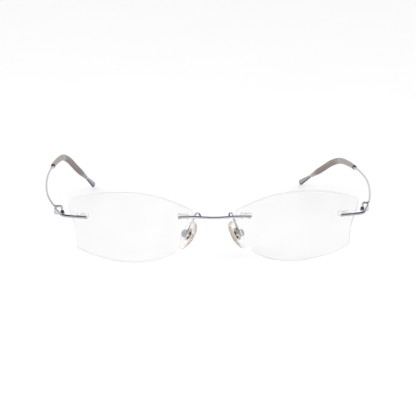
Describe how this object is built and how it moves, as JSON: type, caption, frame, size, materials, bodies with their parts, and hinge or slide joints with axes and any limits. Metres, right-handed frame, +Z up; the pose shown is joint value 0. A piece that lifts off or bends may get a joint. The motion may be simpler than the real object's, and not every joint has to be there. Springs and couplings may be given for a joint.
{
  "type": "rimless eyeglasses",
  "caption": "Rimless spectacles with clear drilled lenses, a wire bridge, rocking nose pads, and folding wire temples that carry soft ear sleeves.",
  "frame": {"origin": "centre of the open glasses' footprint, on the surface that the lenses' lower edges and the temple tips rest on", "axes": "+X across the front, to the right as seen from in front; +Y back along the temples, so the lenses face -Y; +Z up. Left and right in the names are as seen from in front."},
  "size_m": [0.1515, 0.14, 0.0325],
  "materials": {
    "titanium": "satin silver titanium wire",
    "polished_steel": "polished",
    "lens": "clear with an anti-reflection coating and polished edges",
    "clear_plug": "clear",
    "sleeve_rubber": "matte taupe, ribbed",
    "pad_silicone": "clear soft silicone with a warm tint at the rim",
    "tan_nylon": "satin",
    "black_nylon": "satin"
  },
  "bodies": {
    "front": {"bridge": "titanium", "left_lens": "lens", "left_temporal_plug": "clear_plug", "left_nasal_plug": "clear_plug", "left_endpiece": "titanium", "left_hinge_bushing": "black_nylon", "left_pad_arm": "titanium", "left_pad_box": "titanium", "left_pad_screw": "polished_steel", "right_lens": "lens", "right_temporal_plug": "clear_plug", "right_nasal_plug": "clear_plug", "right_endpiece": "titanium", "right_hinge_bushing": "black_nylon", "right_pad_arm": "titanium", "right_pad_box": "titanium", "right_pad_screw": "polished_steel"},
    "left_temple": {"left_temple_wire": "titanium", "left_hinge_cap": "polished_steel", "left_tip_ferrule": "polished_steel", "left_tip_sleeve": "sleeve_rubber"},
    "right_temple": {"right_temple_wire": "titanium", "right_hinge_cap": "polished_steel", "right_tip_ferrule": "polished_steel", "right_tip_sleeve": "sleeve_rubber"},
    "left_pad": {"left_nose_pad": "pad_silicone", "left_pad_insert": "tan_nylon"},
    "right_pad": {"right_nose_pad": "pad_silicone", "right_pad_insert": "tan_nylon"}
  },
  "joints": [
    {"name": "left_temple_fold", "type": "hinge", "parent": "front", "child": "left_temple", "pos_m": [-0.06615, -0.05215, 0.02229], "axis": [0, 0, -1], "range_deg": [0, 87]},
    {"name": "right_temple_fold", "type": "hinge", "parent": "front", "child": "right_temple", "pos_m": [0.0668, -0.05215, 0.02274], "axis": [0, 0, 1], "range_deg": [0, 77]},
    {"name": "left_pad_rock", "type": "hinge", "parent": "front", "child": "left_pad", "pos_m": [-0.01177, -0.05444, 0.01002], "axis": [-0.5064, 0.8192, 0.2693], "range_deg": [-10, 10]},
    {"name": "right_pad_rock", "type": "hinge", "parent": "front", "child": "right_pad", "pos_m": [0.01177, -0.05444, 0.01002], "axis": [0.5064, 0.8192, 0.2693], "range_deg": [-10, 10]}
  ]
}
